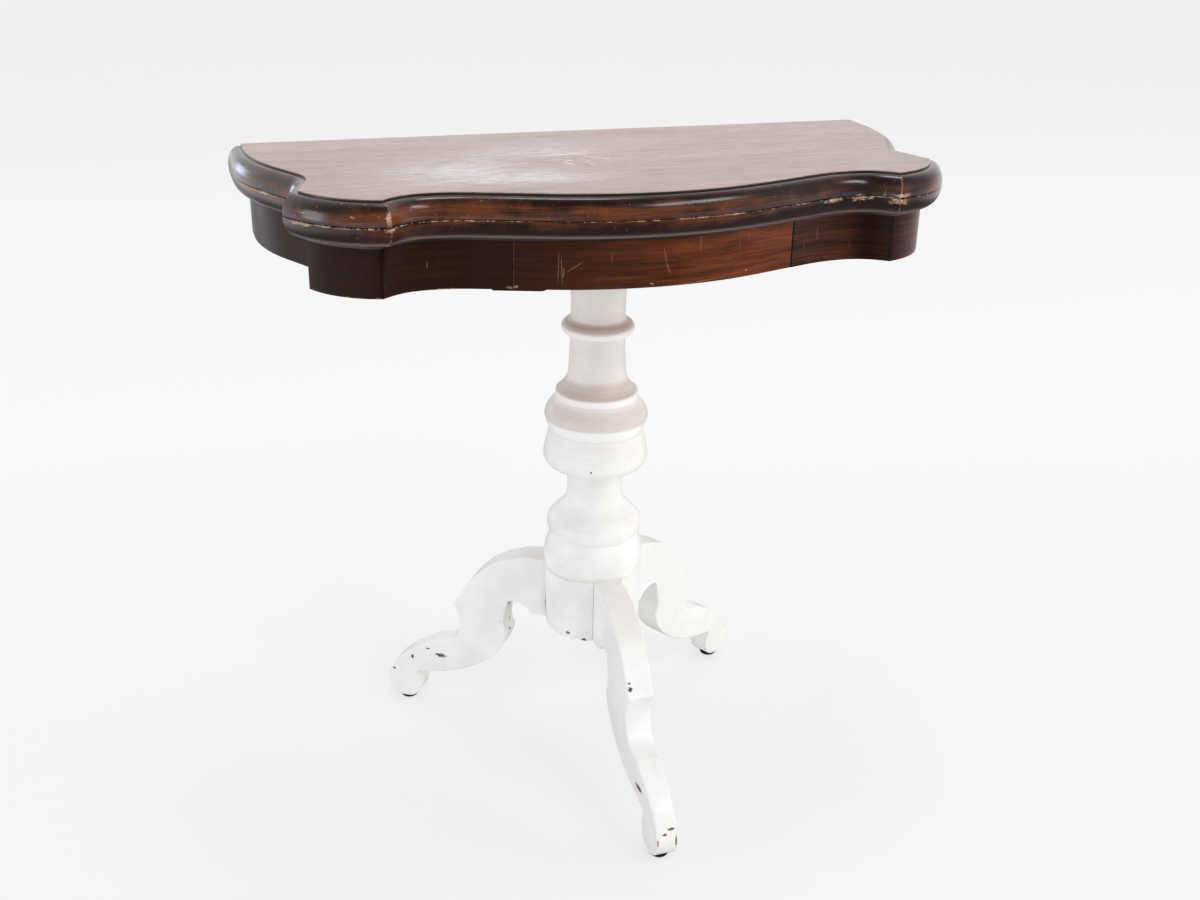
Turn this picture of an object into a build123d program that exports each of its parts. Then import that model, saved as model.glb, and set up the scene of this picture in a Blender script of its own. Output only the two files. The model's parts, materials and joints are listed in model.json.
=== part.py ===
from build123d import *
import os
from math import cos, radians, sin

os.makedirs("parts", exist_ok=True)

# All lengths are in millimetres. Plan places are measured from the axis of the turned
# column: x runs along the table's length, y to its straight back edge, and z up from the floor.

# Main sizes
table_height = 760.0
leaf_thickness = 24.0        # each of the two folding leaves
frieze_height = 50.0         # boards under the leaves
frieze_inset = 5.0           # frieze face behind the edge of the field
board_thickness = 20.0       # frieze boards
leaf_gap = 0.3               # between the two folded leaves
slide_gap = 0.2              # under the leaf that turns on the frame
fit = 0.5                    # round a wooden piece let into another
pin_fit = 0.05               # round a pin or bolt that turns
overrun = 10.0               # cutting shapes reach this far past the wood

# Outline of the field: straight back, lobed ends and a bowed front
back_reach = 132.0
back_half_length = 376.5
shoulder_reach = 46.0        # where the line of the flank would meet the straight end
shoulder_radius = 230.0
notch_inset = 50.1           # in from the back corner
notch_reach = 54.2
notch_radius = 46.0
tip_inset = 32.0
tip_reach = 114.0
lobe_radius = 97.0
corner_inset = 102.6         # mitred corner between the lobe and the bowed front
bow_reach = 200.0
bow_radius = 375.0
bow_turn = 18.0
hollow_radius = 146.0
ear_radius = 62.0
ear_turn = 47.0

# Moulded edge round both leaves
nose_reach = 15.0            # moulding beyond the field, at the seam
nose_ease = 1.0
shoulder_step = 2.5          # field above the moulding
shelf_width = 2.5
moulding_fillet_height = 4.0  # flat band under the lower moulding
moulding_fillet_inset = 3.5
edge_ease = 0.6
mitre_allowance = 30.0

# Counter-flap hinges
hinge_inset = 91.5           # middle of a hinge, in from the back corner
hinge_setback = 5.0          # pin behind the back edge and below the playing face
hinge_sink = 0.2
plate_length = 42.0
plate_width = 30.0
plate_thickness = 2.6
barrel_radius = 4.6
link_thickness = 4.0
link_play = 0.3              # beside the link
hinge_pin_radius = 1.6
screw_radius = 1.6
screw_length = 14.0
screw_head_radius = 3.2
screw_head_height = 1.7
screw_slot_width = 0.9
screw_slot_depth = 0.8
plate_screw_share = 0.3      # screws along the plate, from its ends

# Pivot on which the leaves turn
pivot_plate_radius = 34.0
pivot_plate_thickness = 3.0
pivot_head_radius = 11.0
pivot_head_height = 2.5
pivot_radius = 6.0
pivot_washer_radius = 14.0
pivot_washer_thickness = 2.0
pivot_nut_radius = 11.0
pivot_nut_height = 8.0
pivot_bolt_tail = 3.0        # below the nut
pivot_screw_circle = 24.0

# Frame inside the frieze
bearer_depth = 90.0          # cross bearer on the column, front to back
bearer_height = 35.0
pivot_rail_width = 70.0
corner_block_side = 16.0
runner_width = 53.0
runner_thickness = 5.0
runner_overlap = 16.0        # runner under the front rail
runner_lap = 25.0            # runner under the bearer
left_runner_setback = 12.0
right_runner_setback = 24.0
runner_corner_radius = 6.0
guide_width = 12.0
guide_height = 18.0

# Drawer in the middle of the frieze
drawer_length = 307.0
drawer_shift = 6.5           # its middle, to the right of the column
drawer_gap = 0.6             # at its front's ends
drawer_clearance = 0.3       # above the runners
drawer_front_thickness = 18.0
drawer_side_thickness = 8.0
drawer_side_height = 38.0
drawer_backset = 5.0         # behind its back, to the bearer
drawer_top_gap = 0.5
drawer_bottom_thickness = 4.0
drawer_bottom_rise = 3.0
groove_depth = 4.0

# Turned column and its three scroll legs
column_radius = 63.0         # at the bowl, its widest
column_bottom = 169.0
tenon_radius = 22.0
leg_reach = 282.0
leg_top = 250.0
leg_thickness = 35.0
toe_thickness = 25.0
taper_start = 120.0
front_leg_turn = -90.0
right_leg_turn = 30.0
left_leg_turn = 145.0
foot_radius = 24.0
foot_height = 29.0           # middle of the scrolled foot
shoulder_flat = 52.0         # leg's shoulder, from the column's axis
dovetail_depth = 16.0
dovetail_mouth = 16.0
dovetail_root = 24.0
socket_gap = 0.4             # beside the leg in its housing
glide_radius = 11.0
glide_height = 6.0
glide_foot_radius = 6.5
glide_rim_share = 0.6         # of its height, where its side begins
glide_nail_radius = 1.5
glide_nail_length = 14.0
dovetail_top = 238.0
arch_foot = 73.0             # where the arch under the leg meets the flat
spider_thickness = 3.0
spider_hub_radius = 30.0
spider_arm_width = 20.0
spider_arm_reach = 68.0
spider_screw_circle = 18.0

# Turns, in degrees
quarter_turn = 90.0
half_turn = 180.0
whole_turn = 360.0
notch_turn = 133.0           # round the scrolled foot, from its front to the notch
toe_turn = 17.0
pivot_screw_turns = (90.0, 210.0, 330.0)

# Derived places
notch_half_length = back_half_length - notch_inset
tip_half_length = back_half_length - tip_inset
arcs_length = (bow_radius + hollow_radius) * sin(radians(bow_turn)) + ear_radius * sin(radians(ear_turn))
straight_run = (back_half_length - corner_inset - arcs_length) / cos(radians(bow_turn))
hinge_centre = back_half_length - hinge_inset
pivot_offset = back_reach / 2   # as far from the middle as from the hinge line
seam = table_height - leaf_thickness
leaf_bottom = seam - leaf_thickness
upper_face = seam + leaf_gap / 2
lower_face = seam - leaf_gap / 2
frame_top = leaf_bottom - slide_gap
frame_bottom = leaf_bottom - frieze_height
bearer_top = frame_bottom + bearer_height
foot_middle = leg_reach - foot_radius
half_toe = toe_thickness / 2
drawer_left = drawer_shift - drawer_length / 2
drawer_right = drawer_shift + drawer_length / 2

# The origin is on the floor, in the middle of the space that the table fills.
# The legs stand out furthest at the front and behind, so they say where the column is.
left_toe = leg_reach * sin(radians(left_leg_turn)) + half_toe * abs(cos(radians(left_leg_turn)))
right_toe = leg_reach * sin(radians(right_leg_turn)) + half_toe * abs(cos(radians(right_leg_turn)))
column_y = (leg_reach - max(left_toe, right_toe, back_reach)) / 2


def level(height):
    """Horizontal plane at a height, centred on the column."""
    return Plane(origin=(0, column_y, height))


def rect(x_low, x_high, y_low, y_high, mode=Mode.ADD):
    """Rectangle between two corners, in the sketch that calls it."""
    with Locations(((x_low + x_high) / 2, (y_low + y_high) / 2)):
        Rectangle(x_high - x_low, y_high - y_low, mode=mode)


def finish(piece, name):
    """Labels a finished piece and writes it."""
    piece.part.label = name
    export_step(piece.part, f"parts/{name}.step")


# Outline


def serpentine():
    """Half of the bowed front, from its middle to the mitred corner."""
    bow = JernArc((0, -bow_reach), (1, 0), bow_radius, bow_turn)
    run = Line(bow @ 1, bow @ 1 + (bow % 1) * straight_run)
    hollow = JernArc(run @ 1, run % 1, hollow_radius, -bow_turn)
    return JernArc(hollow @ 1, hollow % 1, ear_radius, -ear_turn)


def flank():
    """Right end, from the lobe's tip through the notch to the back corner."""
    return FilletPolyline(
        (tip_half_length, -tip_reach),
        (notch_half_length, -notch_reach),
        (back_half_length, shoulder_reach),
        (back_half_length, back_reach),
        radius=(notch_radius, shoulder_radius),
    )


with BuildLine() as front_half:
    serpentine()
with BuildLine() as lobe_line:
    RadiusArc(front_half.wire() @ 1, (tip_half_length, -tip_reach), -lobe_radius)
with BuildLine() as flank_line:
    flank()

with BuildSketch() as field:
    with BuildLine():
        add(front_half.line)
        add(lobe_line.line)
        add(flank_line.line)
        Line((back_half_length, back_reach), (0, back_reach))
        mirror(about=Plane.YZ)
    make_face()
with BuildSketch() as lower_fillet_outline:
    add(field.sketch_local)
    offset(amount=-moulding_fillet_inset, kind=Kind.INTERSECTION, mode=Mode.REPLACE)
with BuildSketch() as frame_outline:
    add(field.sketch_local)
    offset(amount=-frieze_inset, kind=Kind.INTERSECTION, mode=Mode.REPLACE)
with BuildSketch() as frame_inside:
    add(field.sketch_local)
    offset(amount=-frieze_inset - board_thickness, kind=Kind.INTERSECTION, mode=Mode.REPLACE)

# Runs of the outline that the moulding and the frieze follow, one after the other: the
# bowed front from left to right, the right lobe, and the flank to the back corner.


def raised(curve):
    """A run of the outline at the height of the seam."""
    return level(seam).from_local_coords(curve)


with BuildLine() as whole_front:
    add(front_half.line)
    mirror(about=Plane.YZ)
front_run = raised(whole_front.wire())
lobe_run = raised(lobe_line.wire())
flank_run = raised(flank_line.wire())


def mitre(before, after):
    """Plane of the mitre between two runs; what comes after lies on its upper side."""
    return Plane(origin=after @ 0, z_dir=(before % 1) + (after % 0))


def other_side(plane):
    """The same plane at the left end of the table."""
    place, way = plane.origin, plane.z_dir
    return Plane(origin=(-place.X, place.Y, place.Z), z_dir=(-way.X, way.Y, way.Z))


corner_mitre = mitre(front_run, lobe_run)
tip_mitre = mitre(lobe_run, flank_run)
left_corner_mitre = other_side(corner_mitre)

# Moulding, drawn across its run: x outwards from the field, y up from the seam
nose_top = leaf_thickness - shoulder_step
nose_foot = moulding_fillet_height - leaf_thickness
with BuildSketch() as upper_profile:
    with BuildLine():
        Polyline(
            (0, nose_top),
            (0, leaf_gap / 2),
            (nose_reach - nose_ease, leaf_gap / 2),
            (nose_reach, nose_ease),
        )
        EllipticalCenterArc(
            (shelf_width, nose_ease),
            nose_reach - shelf_width,
            nose_top - nose_ease,
            arc_size=quarter_turn,
        )
        Line((shelf_width, nose_top), (0, nose_top))
    make_face()
with BuildSketch() as lower_profile:
    with BuildLine():
        Polyline(
            (0, nose_foot),
            (0, -leaf_gap / 2),
            (nose_reach - nose_ease, -leaf_gap / 2),
            (nose_reach, -nose_ease),
        )
        EllipticalCenterArc(
            (shelf_width, -nose_ease),
            nose_reach - shelf_width,
            -nose_foot - nose_ease,
            start_angle=-quarter_turn,
            arc_size=quarter_turn,
        )
        Line((shelf_width, nose_foot), (0, nose_foot))
    make_face()


def back_rounding(side):
    """What the rounding about the hinge pins takes off a back edge; side is 1 above the seam."""
    pin_y, pin_z = back_reach - hinge_setback, side * (leaf_gap / 2 + hinge_setback)
    across = Plane(origin=(0, column_y, seam), x_dir=(0, 1, 0), z_dir=(1, 0, 0))
    with BuildPart() as waste:
        with BuildSketch(across):
            with Locations((pin_y + overrun / 2, pin_z - side * overrun / 2)):
                Rectangle(overrun, overrun)
            with Locations((pin_y, pin_z)):
                Circle(hinge_setback, mode=Mode.SUBTRACT)
        extrude(amount=back_half_length + nose_reach + overrun, both=True)
    return waste.part


def moulding(run, profile, cuts, back_side=0):
    """Moulding along a run, mitred by the planes in cuts; its end at the back edge is rounded."""
    with BuildPart() as piece:
        with BuildLine() as path:
            Line(run @ 0 - (run % 0) * mitre_allowance, run @ 0)
            add(run)
            if not back_side:
                Line(run @ 1, run @ 1 + (run % 1) * mitre_allowance)
        way = path.wire() % 0
        with BuildSketch(Plane(origin=path.wire() @ 0, x_dir=(way.Y, -way.X, 0), z_dir=-way)):
            add(profile.sketch_local)
        sweep(path=path.wire())
        for plane, keep in cuts:
            split(bisect_by=plane, keep=keep)
        if back_side:
            add(back_rounding(back_side), mode=Mode.SUBTRACT)
    return piece


def left_twin(right_piece):
    """The matching piece at the left end."""
    with BuildPart() as piece:
        mirror(right_piece.part, about=Plane.YZ)
    return piece


for leaf, profile, side in (("upper", upper_profile, 1), ("lower", lower_profile, -1)):
    front = moulding(
        front_run, profile, ((corner_mitre, Keep.BOTTOM), (left_corner_mitre, Keep.BOTTOM))
    )
    lobe = moulding(lobe_run, profile, ((corner_mitre, Keep.TOP), (tip_mitre, Keep.BOTTOM)))
    end = moulding(flank_run, profile, ((tip_mitre, Keep.TOP),), back_side=side)
    finish(front, f"{leaf}_front_moulding")
    finish(lobe, f"{leaf}_lobe_moulding_right")
    finish(left_twin(lobe), f"{leaf}_lobe_moulding_left")
    finish(end, f"{leaf}_end_moulding_right")
    finish(left_twin(end), f"{leaf}_end_moulding_left")


# Screws and other turned fittings


def screw_shape(play=0.0):
    """Countersunk screw with its head's face at the origin, pointing down; play widens its hole."""
    with BuildPart() as screw:
        with BuildSketch(Plane.XZ):
            with BuildLine():
                Polyline(
                    (0, 0),
                    (screw_head_radius + play, 0),
                    (screw_radius + play, -screw_head_height),
                    (screw_radius + play, -screw_length),
                    (0, -screw_length),
                    close=True,
                )
            make_face()
        revolve(axis=Axis.Z)
    return screw.part


def slotted_screw():
    """The countersunk screw, with the slot in its head."""
    with BuildPart() as screw:
        add(screw_shape())
        with BuildSketch():
            Rectangle(2 * screw_head_radius + overrun, screw_slot_width)
        extrude(amount=-screw_slot_depth, mode=Mode.SUBTRACT)
    return screw.part


def copies(shape, planes):
    """The same shape on each of several planes."""
    with BuildPart() as group:
        with Locations(*[plane.location for plane in planes]):
            add(shape)
    return group


# Hinges: two plates with half barrels, joined by a short link on two pins, so that the
# leaves fold face to face and open flat with no knuckle above the playing surface
hinge_ends = (("left", -hinge_centre), ("right", hinge_centre))
hinge_pin_y = back_reach - hinge_setback
plate_screw_reaches = (plate_length * plate_screw_share, plate_length * (1 - plate_screw_share))
plate_under = hinge_setback - hinge_sink - plate_thickness   # from the pin to the plate


def pin_height(side):
    """Height of the hinge pins in the upper leaf, side 1, or in the lower leaf, side -1."""
    return seam + side * (leaf_gap / 2 + hinge_setback)


def across_hinge(x, side):
    """Plane across a hinge on its pin: local x to the back, local y towards the other leaf."""
    return Plane(
        origin=(x, column_y + hinge_pin_y, pin_height(side)), x_dir=(0, 1, 0), z_dir=(-side, 0, 0)
    )


def plate_screw_planes(x, side):
    """Planes of the screw heads of one hinge plate."""
    return [
        Plane(
            origin=(x, column_y + hinge_pin_y - reach, seam + side * (leaf_gap / 2 + hinge_sink)),
            x_dir=(1, 0, 0),
            z_dir=(0, 0, -side),
        )
        for reach in plate_screw_reaches
    ]


def hinge_seat(x, side):
    """What one hinge takes out of its leaf."""
    with BuildPart() as waste:
        with BuildSketch(across_hinge(x, side)):
            rect(-plate_length - fit / 2, overrun, plate_under, overrun)
            rect(-barrel_radius - fit, overrun, -barrel_radius - fit, overrun)
        extrude(amount=(plate_width + fit) / 2, both=True)
        add(copies(screw_shape(pin_fit), plate_screw_planes(x, side)).part)
    return waste.part


def hinge_plate(x, side):
    """Brass plate let into a playing face, with its barrel at the back edge."""
    with BuildPart() as plate:
        with BuildSketch(across_hinge(x, side)):
            rect(-plate_length, 0, plate_under, plate_under + plate_thickness)
            Circle(barrel_radius)
        extrude(amount=plate_width / 2, both=True)
        with BuildSketch(across_hinge(x, side)):
            rect(-barrel_radius - fit, overrun, -overrun, overrun)
        extrude(amount=link_thickness / 2 + link_play, both=True, mode=Mode.SUBTRACT)
        with BuildSketch(across_hinge(x, side)):
            Circle(hinge_pin_radius + pin_fit)
        extrude(amount=plate_width, both=True, mode=Mode.SUBTRACT)
        add(copies(screw_shape(pin_fit), plate_screw_planes(x, side)).part, mode=Mode.SUBTRACT)
    return plate


def hinge_link(x):
    """Link that joins the two pins of a hinge."""
    spacing = leaf_gap + 2 * hinge_setback
    with BuildPart() as link:
        with BuildSketch(across_hinge(x, -1)):
            with Locations((0, spacing / 2)):
                SlotCenterToCenter(spacing, 2 * barrel_radius, rotation=quarter_turn)
            with Locations((0, 0), (0, spacing)):
                Circle(hinge_pin_radius + pin_fit, mode=Mode.SUBTRACT)
        extrude(amount=link_thickness / 2, both=True)
    return link


def hinge_pins(side):
    """The pins of both hinges in one leaf."""
    with BuildPart() as pins:
        for _, x in hinge_ends:
            with BuildSketch(across_hinge(x, side)):
                Circle(hinge_pin_radius)
            extrude(amount=plate_width / 2, both=True)
    return pins


for end, x in hinge_ends:
    finish(hinge_plate(x, 1), f"upper_hinge_plate_{end}")
    finish(hinge_plate(x, -1), f"lower_hinge_plate_{end}")
    finish(hinge_link(x), f"hinge_link_{end}")
for leaf, side in (("upper", 1), ("lower", -1)):
    finish(hinge_pins(side), f"{leaf}_hinge_pins")
    planes = [plane for _, x in hinge_ends for plane in plate_screw_planes(x, side)]
    finish(copies(slotted_screw(), planes), f"{leaf}_hinge_screws")

# Pivot: a plate let into the underside of the lower leaf, and a bolt that turns in the frame
pivot_plan = Plane(origin=(pivot_offset, column_y + pivot_offset, 0))
washer_top = bearer_top - slide_gap
nut_top = washer_top - pivot_washer_thickness
bolt_end = nut_top - pivot_nut_height - pivot_bolt_tail
plate_top = leaf_bottom + pivot_plate_thickness


def round_at_pivot(low, high, radius, hole=0.0):
    """Disc or washer on the pivot's axis between two heights."""
    with BuildPart() as disc:
        with BuildSketch(pivot_plan.offset(low)):
            Circle(radius)
            if hole:
                Circle(hole, mode=Mode.SUBTRACT)
        extrude(amount=high - low)
    return disc


pivot_screw_planes = [
    Plane(
        origin=(
            pivot_offset + pivot_screw_circle * cos(radians(turn)),
            column_y + pivot_offset + pivot_screw_circle * sin(radians(turn)),
            leaf_bottom,
        ),
        z_dir=(0, 0, -1),
    )
    for turn in pivot_screw_turns
]
with BuildPart() as pivot_plate:
    add(round_at_pivot(leaf_bottom, plate_top, pivot_plate_radius, pivot_radius + pin_fit).part)
    add(copies(screw_shape(pin_fit), pivot_screw_planes).part, mode=Mode.SUBTRACT)
with BuildPart() as pivot_bolt:
    add(round_at_pivot(bolt_end, plate_top, pivot_radius).part)
    add(round_at_pivot(plate_top, plate_top + pivot_head_height, pivot_head_radius).part)
pivot_washer = round_at_pivot(nut_top, washer_top, pivot_washer_radius, pivot_radius + pin_fit)
with BuildPart() as pivot_nut:
    with BuildSketch(pivot_plan.offset(nut_top - pivot_nut_height)):
        RegularPolygon(pivot_nut_radius, 6)
        Circle(pivot_radius + pin_fit, mode=Mode.SUBTRACT)
    extrude(amount=pivot_nut_height)
finish(pivot_plate, "pivot_plate")
finish(pivot_bolt, "pivot_bolt")
finish(pivot_washer, "pivot_washer")
finish(pivot_nut, "pivot_nut")
finish(copies(slotted_screw(), pivot_screw_planes), "pivot_screws")

# The two leaves: boards with the field standing over the moulding
with BuildPart() as upper_board:
    with BuildSketch(level(upper_face)):
        add(field.sketch_local)
    extrude(amount=table_height - upper_face)
    chamfer(upper_board.faces().sort_by(Axis.Z)[-1].edges(), length=edge_ease)
    add(back_rounding(1), mode=Mode.SUBTRACT)
    for _, x in hinge_ends:
        add(hinge_seat(x, 1), mode=Mode.SUBTRACT)
with BuildPart() as lower_board:
    with BuildSketch(level(seam + nose_foot)):
        add(field.sketch_local)
    extrude(amount=lower_face - seam - nose_foot)
    with BuildSketch(level(leaf_bottom)):
        add(lower_fillet_outline.sketch_local)
        band_half = back_half_length - moulding_fillet_inset
        rect(-band_half, band_half, back_reach - 2 * moulding_fillet_inset, back_reach)
    extrude(amount=moulding_fillet_height)
    add(back_rounding(-1), mode=Mode.SUBTRACT)
    for _, x in hinge_ends:
        add(hinge_seat(x, -1), mode=Mode.SUBTRACT)
    add(round_at_pivot(leaf_bottom, plate_top, pivot_plate_radius + fit / 2).part, mode=Mode.SUBTRACT)
    head_room = plate_top + pivot_head_height + fit
    add(round_at_pivot(plate_top, head_room, pivot_head_radius + fit / 2).part, mode=Mode.SUBTRACT)
    add(copies(screw_shape(pin_fit), pivot_screw_planes).part, mode=Mode.SUBTRACT)
finish(upper_board, "upper_board")
finish(lower_board, "lower_board")

# Frieze boards, mitred at the corners and butted to the back rail
inner_inset = frieze_inset + board_thickness
back_rail_half = back_half_length - inner_inset
back_inside = back_reach - inner_inset
far = back_half_length + nose_reach + overrun


def frieze_board(x_low, x_high, cuts):
    """A board of the frieze between two places along the table, mitred by the planes in cuts."""
    with BuildPart() as board:
        with BuildSketch(level(frame_bottom)):
            add(frame_outline.sketch_local)
            add(frame_inside.sketch_local, mode=Mode.SUBTRACT)
            rect(x_low, x_high, -bow_reach, -tip_reach + overrun, mode=Mode.INTERSECT)
        extrude(amount=frame_top - frame_bottom)
        for plane, keep in cuts:
            split(bisect_by=plane, keep=keep)
    return board


front_rail_right = frieze_board(drawer_right, far, ((corner_mitre, Keep.BOTTOM),))
front_rail_left = frieze_board(-far, drawer_left, ((left_corner_mitre, Keep.BOTTOM),))
lobe_board = frieze_board(0, far, ((corner_mitre, Keep.TOP), (tip_mitre, Keep.BOTTOM)))
with BuildPart() as side_board:
    with BuildSketch(level(frame_bottom)):
        add(frame_outline.sketch_local)
        add(frame_inside.sketch_local, mode=Mode.SUBTRACT)
        rect(0, back_rail_half, back_inside, back_reach, mode=Mode.SUBTRACT)
        rect(notch_half_length - 2 * inner_inset, far, -bow_reach, back_reach, mode=Mode.INTERSECT)
    extrude(amount=frieze_height - slide_gap)
    split(bisect_by=tip_mitre, keep=Keep.TOP)
with BuildPart() as back_rail:
    with BuildSketch(level(frame_bottom)):
        rect(-back_rail_half, back_rail_half, back_inside, back_reach - frieze_inset)
    extrude(amount=frieze_height - slide_gap)
finish(front_rail_right, "front_rail_right")
finish(front_rail_left, "front_rail_left")
finish(lobe_board, "lobe_board_right")
finish(left_twin(lobe_board), "lobe_board_left")
finish(side_board, "side_board_right")
finish(left_twin(side_board), "side_board_left")
finish(back_rail, "back_rail")

# Blocks glued into the corners of the frieze
block_places = [
    frame_inside.sketch_local.vertices().sort_by_distance(place)[0]
    for side in (-1, 1)
    for place in (
        (side * (front_half.line @ 1).X, (front_half.line @ 1).Y, 0),
        (side * tip_half_length, -tip_reach, 0),
        (side * back_half_length, back_reach, 0),
    )
]
with BuildPart() as corner_blocks:
    with BuildSketch(level(frame_bottom)):
        with Locations(*[(place.X, place.Y) for place in block_places]):
            Rectangle(2 * corner_block_side, 2 * corner_block_side)
        add(frame_inside.sketch_local, mode=Mode.INTERSECT)
    extrude(amount=frieze_height - slide_gap)
finish(corner_blocks, "corner_blocks")

# Bearer on top of the column, and the rail that holds the pivot
bearer_front = -bearer_depth / 2
with BuildPart() as cross_bearer:
    with BuildSketch(level(frame_bottom)):
        rect(-far, far, bearer_front, -bearer_front)
        add(frame_inside.sketch_local, mode=Mode.INTERSECT)
        Circle(tenon_radius + pin_fit, mode=Mode.SUBTRACT)
    extrude(amount=bearer_height)
with BuildPart() as pivot_rail:
    with BuildSketch(level(bearer_top)):
        half_rail = pivot_rail_width / 2
        rect(pivot_offset - half_rail, pivot_offset + half_rail, bearer_front, back_inside)
    extrude(amount=frame_top - bearer_top)
    add(round_at_pivot(bearer_top, frame_top, pivot_radius + pin_fit).part, mode=Mode.SUBTRACT)
finish(cross_bearer, "cross_bearer")
finish(pivot_rail, "pivot_rail")


def curved_board(x_low, x_high, inset, y_high, low, high, rounding=0.0):
    """Board whose front edge follows the frieze; rounding is the radius of its front corners."""
    with BuildPart() as board:
        with BuildSketch(level(low)):
            add(field.sketch_local)
            offset(amount=-inset, kind=Kind.INTERSECTION, mode=Mode.REPLACE)
            rect(x_low, x_high, -bow_reach, y_high, mode=Mode.INTERSECT)
        extrude(amount=high - low)
        if rounding:
            fillet(board.edges().filter_by(Axis.Z).sort_by(Axis.Y)[:2], radius=rounding)
    return board


# Runners and guides of the drawer
runner_end = bearer_front + runner_lap
runner_bottom = frame_bottom - runner_thickness
guide_top = frame_bottom + guide_height
left_guide, right_guide = drawer_left - guide_width, drawer_right + guide_width
for end, low, setback in (
    ("left", drawer_left - runner_overlap, left_runner_setback),
    ("right", drawer_right + runner_overlap - runner_width, right_runner_setback),
):
    runner = curved_board(
        low,
        low + runner_width,
        frieze_inset + setback,
        runner_end,
        runner_bottom,
        frame_bottom,
        rounding=runner_corner_radius,
    )
    finish(runner, f"runner_{end}")
for end, low, high in (("left", left_guide, drawer_left), ("right", drawer_right, right_guide)):
    finish(
        curved_board(low, high, inner_inset, bearer_front, frame_bottom, guide_top),
        f"drawer_guide_{end}",
    )

# Drawer
front_inset = frieze_inset + drawer_front_thickness
box_left, box_right = drawer_left + drawer_gap, drawer_right - drawer_gap
inner_left, inner_right = box_left + drawer_side_thickness, box_right - drawer_side_thickness
box_back = bearer_front - drawer_backset
box_bottom = frame_bottom + drawer_clearance
box_top = box_bottom + drawer_side_height
bottom_under = box_bottom + drawer_bottom_rise
bottom_top = bottom_under + drawer_bottom_thickness
drawer_bottom = curved_board(
    inner_left - groove_depth,
    inner_right + groove_depth,
    front_inset - groove_depth,
    box_back,
    bottom_under,
    bottom_top,
)
with BuildPart() as drawer_front:
    with BuildSketch(level(box_bottom)):
        add(frame_outline.sketch_local)
        rect(box_left, box_right, -bow_reach, 0, mode=Mode.INTERSECT)
    extrude(amount=frame_top - drawer_top_gap - box_bottom)
    add(curved_board(-far, far, front_inset, 0, box_bottom, frame_top).part, mode=Mode.SUBTRACT)
    add(drawer_bottom.part, mode=Mode.SUBTRACT)
finish(drawer_front, "drawer_front")
for end, low in (("left", box_left), ("right", inner_right)):
    with BuildPart() as drawer_side:
        add(
            curved_board(
                low, low + drawer_side_thickness, front_inset, box_back, box_bottom, box_top
            ).part
        )
        add(drawer_bottom.part, mode=Mode.SUBTRACT)
    finish(drawer_side, f"drawer_side_{end}")
with BuildPart() as drawer_back:
    with BuildSketch(level(bottom_top)):
        rect(inner_left, inner_right, box_back - drawer_side_thickness, box_back)
    extrude(amount=box_top - bottom_top)
finish(drawer_back, "drawer_back")
finish(drawer_bottom, "drawer_bottom")

# Turned column. Each step of the profile is an end point, after the middle point of an arc
# where there is one: shares of the column's radius and of its height to the shoulder.
column_shares = (
    ((0.516, 1.0),),
    ((0.505, 0.8134),),
    ((0.563, 0.8073),),
    ((0.679, 0.7911), (0.571, 0.7759)),
    ((0.571, 0.7724),),
    ((0.508, 0.7724),),
    ((0.537, 0.6876),),
    ((0.610, 0.6562), (0.776, 0.6337)),
    ((0.776, 0.6217),),
    ((0.800, 0.612), (0.857, 0.6045)),
    ((0.941, 0.5892), (0.981, 0.5732)),
    ((0.981, 0.571),),
    ((0.905, 0.5396),),
    ((0.889, 0.5355),),
    ((0.962, 0.499), (0.998, 0.4706)),
    ((0.937, 0.4493), (0.794, 0.4402)),
    ((0.571, 0.4331),),
    ((0.571, 0.4254),),
    ((0.537, 0.4254),),
    ((0.530, 0.3834),),
    ((0.545, 0.358), (0.587, 0.3428)),
    ((0.611, 0.3377),),
    ((0.794, 0.3144),),
    ((0.897, 0.2982),),
    ((0.918, 0.285), (0.897, 0.2677)),
    ((0.841, 0.2556),),
    ((0.921, 0.2333), (0.973, 0.2008)),
    ((0.972, 0.187), (0.960, 0.1744)),
    ((0.913, 0.1724),),
    ((0.913, 0.1644),),
    ((0.952, 0.1623),),
    ((0.929, 0.0),),
)
column_height = frame_bottom - column_bottom


def column_point(shares):
    """Place on the column's profile from its two shares."""
    return (shares[0] * column_radius, column_bottom + shares[1] * column_height)


with BuildPart() as column:
    with BuildSketch(Plane(origin=(0, column_y, 0), x_dir=(1, 0, 0), z_dir=(0, -1, 0))):
        with BuildLine():
            Polyline(
                (0, column_bottom),
                (0, bearer_top),
                (tenon_radius, bearer_top),
                (tenon_radius, frame_bottom),
                column_point(column_shares[0][0]),
            )
            here = column_point(column_shares[0][0])
            for step in column_shares[1:]:
                there = column_point(step[-1])
                if len(step) > 1:
                    ThreePointArc(here, column_point(step[0]), there)
                else:
                    Line(here, there)
                here = there
            Line(here, (0, column_bottom))
        make_face()
    revolve(axis=Axis((0, column_y, 0), (0, 0, 1)))

# Scroll legs, drawn from the side. The shares are of the leg's reach and of its height.
knee_shares = (
    (0.248, 1.0),
    (0.369, 0.972),
    (0.482, 0.904),
    (0.567, 0.804),
    (0.624, 0.704),
    (0.652, 0.656),
)
hollow_shares = (
    (0.652, 0.656),
    (0.631, 0.6),
    (0.621, 0.532),
    (0.642, 0.46),
    (0.702, 0.412),
    (0.755, 0.404),
)
toe_shares = ((0.755, 0.404), (0.844, 0.344), (0.929, 0.272), (0.982, 0.192))
under_shares = (
    (0.777, 0.208),
    (0.695, 0.230),
    (0.610, 0.264),
    (0.528, 0.318),
    (0.454, 0.388),
    (0.404, 0.468),
    (0.387, 0.532),
)
inner_shares = ((0.387, 0.532), (0.404, 0.588), (0.399, 0.648), (0.387, 0.704))
arch_shares = ((0.387, 0.704), (0.355, 0.73), (0.319, 0.722), (0.28, 0.686))


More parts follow.
